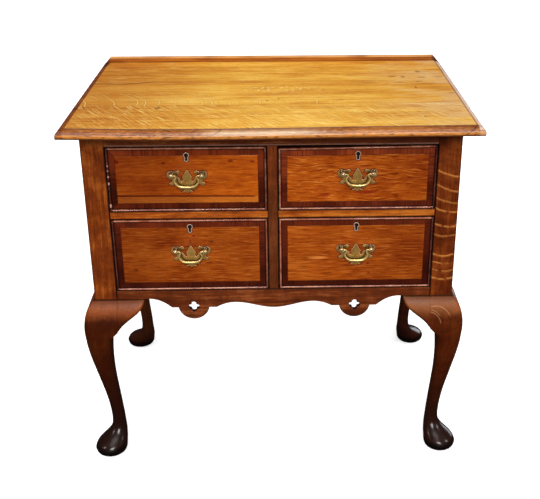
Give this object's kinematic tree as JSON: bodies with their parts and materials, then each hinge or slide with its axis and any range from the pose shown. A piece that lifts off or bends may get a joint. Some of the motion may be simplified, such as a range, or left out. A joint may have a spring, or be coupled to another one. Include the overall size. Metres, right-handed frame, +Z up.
{
  "type": "lowboy",
  "caption": "Low oak dressing table with a moulded top, banded drawers in two tiers, brass bail handles, a pierced scrolled apron and cabriole legs ending in pad feet.",
  "frame": {"origin": "on the floor, below the middle of the overall size", "axes": "+X to the object's right-hand end as seen from the front, +Y from the front towards the back, +Z up; the drawers face -Y"},
  "size_m": [0.768, 0.513, 0.7445],
  "materials": {
    "top_oak": "waxed honey oak",
    "case_oak": "dark waxed oak",
    "drawer_front_veneer": "polished oak inside a dark crossbanding",
    "inner_oak": "dry unfinished oak",
    "brass": "old polished brass"
  },
  "bodies": {
    "carcass": {"top_front_board": "top_oak", "top_middle_board": "top_oak", "top_back_board": "top_oak", "back_upstand": "top_oak", "front_left_leg": "case_oak", "front_right_leg": "case_oak", "rear_left_leg": "case_oak", "rear_right_leg": "case_oak", "front_left_knee_block": "case_oak", "front_right_knee_block": "case_oak", "front_left_side_knee_block": "case_oak", "front_right_side_knee_block": "case_oak", "rear_left_side_knee_block": "case_oak", "rear_right_side_knee_block": "case_oak", "top_rail": "case_oak", "muntin": "case_oak", "mid_rail_left": "case_oak", "mid_rail_right": "case_oak", "apron": "case_oak", "side_panel_left": "case_oak", "side_panel_right": "case_oak", "back_panel": "inner_oak", "lower_runner_left": "inner_oak", "lower_runner_right": "inner_oak", "lower_runner_middle": "inner_oak", "upper_runner_left": "inner_oak", "upper_runner_right": "inner_oak", "upper_runner_middle": "inner_oak"},
    "upper_left_drawer": {"upper_left_drawer_front": "drawer_front_veneer", "upper_left_drawer_left_side": "inner_oak", "upper_left_drawer_right_side": "inner_oak", "upper_left_drawer_back": "inner_oak", "upper_left_drawer_bottom": "inner_oak", "upper_left_lock": "brass", "upper_left_handle_plate": "brass"},
    "upper_left_bail": {"upper_left_handle_bail": "brass"},
    "lower_left_drawer": {"lower_left_drawer_front": "drawer_front_veneer", "lower_left_drawer_left_side": "inner_oak", "lower_left_drawer_right_side": "inner_oak", "lower_left_drawer_back": "inner_oak", "lower_left_drawer_bottom": "inner_oak", "lower_left_lock": "brass", "lower_left_handle_plate": "brass"},
    "lower_left_bail": {"lower_left_handle_bail": "brass"},
    "upper_right_drawer": {"upper_right_drawer_front": "drawer_front_veneer", "upper_right_drawer_left_side": "inner_oak", "upper_right_drawer_right_side": "inner_oak", "upper_right_drawer_back": "inner_oak", "upper_right_drawer_bottom": "inner_oak", "upper_right_lock": "brass", "upper_right_handle_plate": "brass"},
    "upper_right_bail": {"upper_right_handle_bail": "brass"},
    "lower_right_drawer": {"lower_right_drawer_front": "drawer_front_veneer", "lower_right_drawer_left_side": "inner_oak", "lower_right_drawer_right_side": "inner_oak", "lower_right_drawer_back": "inner_oak", "lower_right_drawer_bottom": "inner_oak", "lower_right_lock": "brass", "lower_right_handle_plate": "brass"},
    "lower_right_bail": {"lower_right_handle_bail": "brass"}
  },
  "joints": [
    {"name": "upper_left_drawer_slide", "type": "slide", "parent": "carcass", "child": "upper_left_drawer", "axis": [0, -1, 0], "range_m": [0, 0.3]},
    {"name": "upper_left_bail_hinge", "type": "hinge", "parent": "upper_left_drawer", "child": "upper_left_bail", "pos_m": [-0.15925, -0.219, 0.6305], "axis": [-1, 0, 0], "range_deg": [-24, 150]},
    {"name": "lower_left_drawer_slide", "type": "slide", "parent": "carcass", "child": "lower_left_drawer", "axis": [0, -1, 0], "range_m": [0, 0.3]},
    {"name": "lower_left_bail_hinge", "type": "hinge", "parent": "lower_left_drawer", "child": "lower_left_bail", "pos_m": [-0.15925, -0.219, 0.4745], "axis": [-1, 0, 0], "range_deg": [-24, 150]},
    {"name": "upper_right_drawer_slide", "type": "slide", "parent": "carcass", "child": "upper_right_drawer", "axis": [0, -1, 0], "range_m": [0, 0.3]},
    {"name": "upper_right_bail_hinge", "type": "hinge", "parent": "upper_right_drawer", "child": "upper_right_bail", "pos_m": [0.15925, -0.219, 0.6305], "axis": [-1, 0, 0], "range_deg": [-24, 150]},
    {"name": "lower_right_drawer_slide", "type": "slide", "parent": "carcass", "child": "lower_right_drawer", "axis": [0, -1, 0], "range_m": [0, 0.3]},
    {"name": "lower_right_bail_hinge", "type": "hinge", "parent": "lower_right_drawer", "child": "lower_right_bail", "pos_m": [0.15925, -0.219, 0.4745], "axis": [-1, 0, 0], "range_deg": [-24, 150]}
  ]
}
